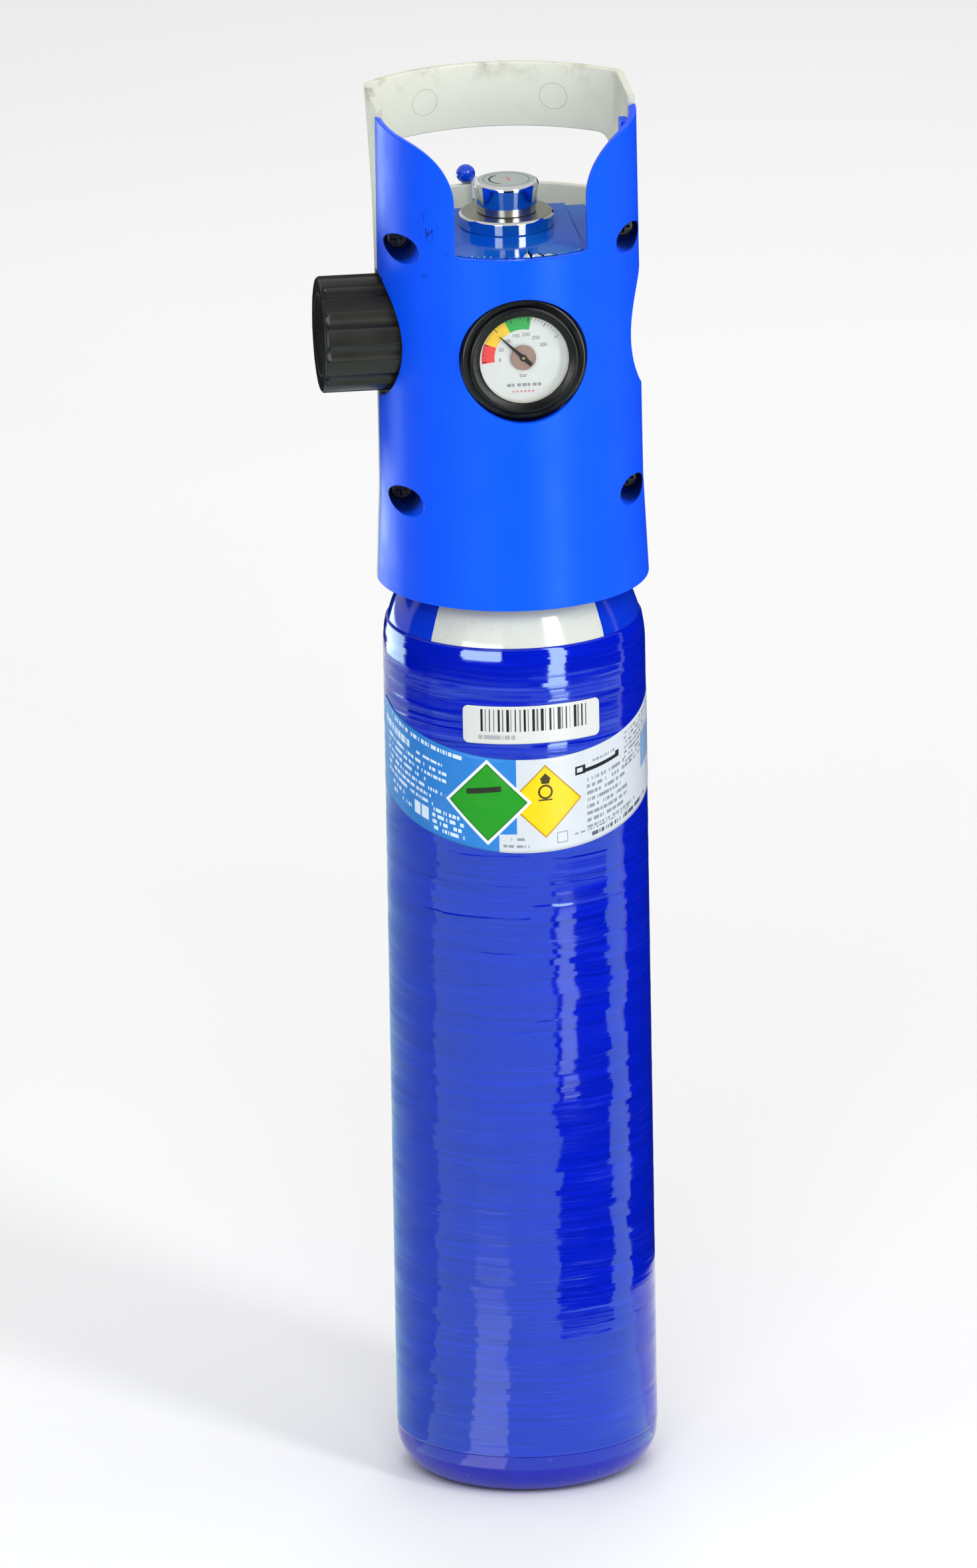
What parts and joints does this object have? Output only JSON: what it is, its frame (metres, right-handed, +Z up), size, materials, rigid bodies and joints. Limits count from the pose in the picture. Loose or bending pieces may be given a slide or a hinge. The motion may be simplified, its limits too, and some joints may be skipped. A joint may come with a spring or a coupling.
{
  "type": "portable medical gas cylinder",
  "caption": "Portable medical gas cylinder with hoop-wound body, integral valve, side handwheel, content gauge, capped quick outlet and two-colour guard with handle.",
  "frame": {"origin": "centre of the flat base on the cylinder's axis", "axes": "+Z up along the cylinder's axis, -Y to the front where the content gauge faces, -X towards the handwheel, +X towards the filling port"},
  "size_m": [0.1243, 0.1094, 0.542],
  "materials": {
    "liner_blue": "gloss paint over aluminium, blue and white quarters on the shoulder",
    "wound_body": "clear-coated hoop winding, deep blue",
    "label": "printed film",
    "guard_blue": "fine texture, bright blue",
    "guard_cream": "fine texture, off-white",
    "black_plastic": "satin",
    "black_rubber": "matt",
    "seal_rubber": "greased",
    "valve_chrome": "polished plate",
    "brass": "machined",
    "steel": "bright zinc",
    "black_steel": "blackened",
    "spring_steel": "drawn wire",
    "seat_plastic": "turned",
    "gauge_glass": "clear window",
    "dial_white": "printed",
    "hub_copper": "satin red-brown",
    "needle_black": "satin",
    "cap_grey": "printed disc",
    "bead_blue": "moulded",
    "clip_clear": "translucent"
  },
  "bodies": {
    "cylinder": {"liner": "liner_blue", "composite_wrap": "wound_body", "contents_label": "label", "barcode_label": "label", "neck_o_ring": "seal_rubber", "debris_tube": "brass", "valve_body": "valve_chrome", "relief_plug": "brass", "burst_disc": "steel", "gland_nut": "brass", "spindle_seal": "seal_rubber", "gauge_socket": "brass", "gauge_seal": "seat_plastic", "gauge_case": "black_plastic", "gauge_bezel": "black_plastic", "gauge_boot": "black_rubber", "gauge_window": "gauge_glass", "gauge_spacer": "seat_plastic", "gauge_dial": "dial_white", "bourdon_tube": "brass", "movement_frame": "brass", "hairspring": "spring_steel", "fill_nipple": "brass", "fill_check_spring": "spring_steel", "regulator_seat": "seat_plastic", "regulator_spring": "spring_steel", "outlet_socket": "valve_chrome", "outlet_seat": "seat_plastic", "outlet_spring": "spring_steel", "guard_front": "guard_blue", "guard_rear": "guard_cream", "guard_screws": "black_steel", "guard_inserts": "brass", "seal_clip": "clip_clear", "seal_bead": "bead_blue"},
    "handwheel_group": {"handwheel": "black_plastic", "handwheel_screw": "steel", "handwheel_cap": "black_plastic", "spindle": "steel"},
    "valve_plug_group": {"valve_plug": "brass", "seat_pad": "seat_plastic"},
    "needle_group": {"gauge_needle": "needle_black", "needle_hub": "hub_copper", "gauge_pinion": "brass"},
    "sector_group": {"gauge_sector": "brass"},
    "link_group": {"gauge_link": "brass"},
    "piston_group": {"regulator_piston": "brass", "piston_seal": "seal_rubber"},
    "outlet_poppet_group": {"outlet_poppet": "brass"},
    "fill_poppet_group": {"fill_check_poppet": "steel"},
    "cap_group": {"outlet_cap": "valve_chrome", "outlet_cap_seal": "seal_rubber", "outlet_cap_face": "cap_grey"}
  },
  "joints": [
    {"name": "handwheel_turn", "type": "hinge", "parent": "cylinder", "child": "handwheel_group", "pos_m": [-0.04, 0, 0.454], "axis": [-1, 0, 0], "range_deg": [0, 540]},
    {"name": "plug_lift", "type": "slide", "parent": "handwheel_group", "child": "valve_plug_group", "axis": [-1, 0, 0], "range_m": [0, 0.0016]},
    {"name": "needle_turn", "type": "hinge", "parent": "cylinder", "child": "needle_group", "pos_m": [0, -0.04, 0.454], "axis": [0, 1, 0], "range_deg": [-49, 105.5]},
    {"name": "sector_turn", "type": "hinge", "parent": "cylinder", "child": "sector_group", "pos_m": [0, -0.035, 0.4444], "axis": [0, 1, 0], "range_deg": [-20, 10]},
    {"name": "link_turn", "type": "hinge", "parent": "sector_group", "child": "link_group", "pos_m": [0, -0.0367, 0.4398], "axis": [0, 1, 0], "range_deg": [-10, 20]},
    {"name": "outlet_cap_lift", "type": "slide", "parent": "cylinder", "child": "cap_group", "axis": [0, 0, 1], "range_m": [0, 0.04]},
    {"name": "outlet_poppet_push", "type": "slide", "parent": "cylinder", "child": "outlet_poppet_group", "axis": [0, 0, -1], "range_m": [0, 0.0025], "stiffness_N_per_m": 1200, "springref_m": -0.002, "deforming": ["outlet_spring"]},
    {"name": "regulator_travel", "type": "slide", "parent": "cylinder", "child": "piston_group", "axis": [0, 0, 1], "range_m": [0, 0.0018], "stiffness_N_per_m": 8000, "springref_m": 0.0025, "deforming": ["regulator_spring"]},
    {"name": "fill_check_push", "type": "slide", "parent": "cylinder", "child": "fill_poppet_group", "axis": [-1, 0, 0], "range_m": [0, 0.002], "stiffness_N_per_m": 600, "springref_m": -0.003, "deforming": ["fill_check_spring"]}
  ],
  "couplings": [
    {"joint": "plug_lift", "follows": "handwheel_turn", "m_per_rad": 0.00015915},
    {"joint": "sector_turn", "follows": "needle_turn", "ratio": -0.18518},
    {"joint": "link_turn", "follows": "needle_turn", "ratio": 0.16296}
  ]
}
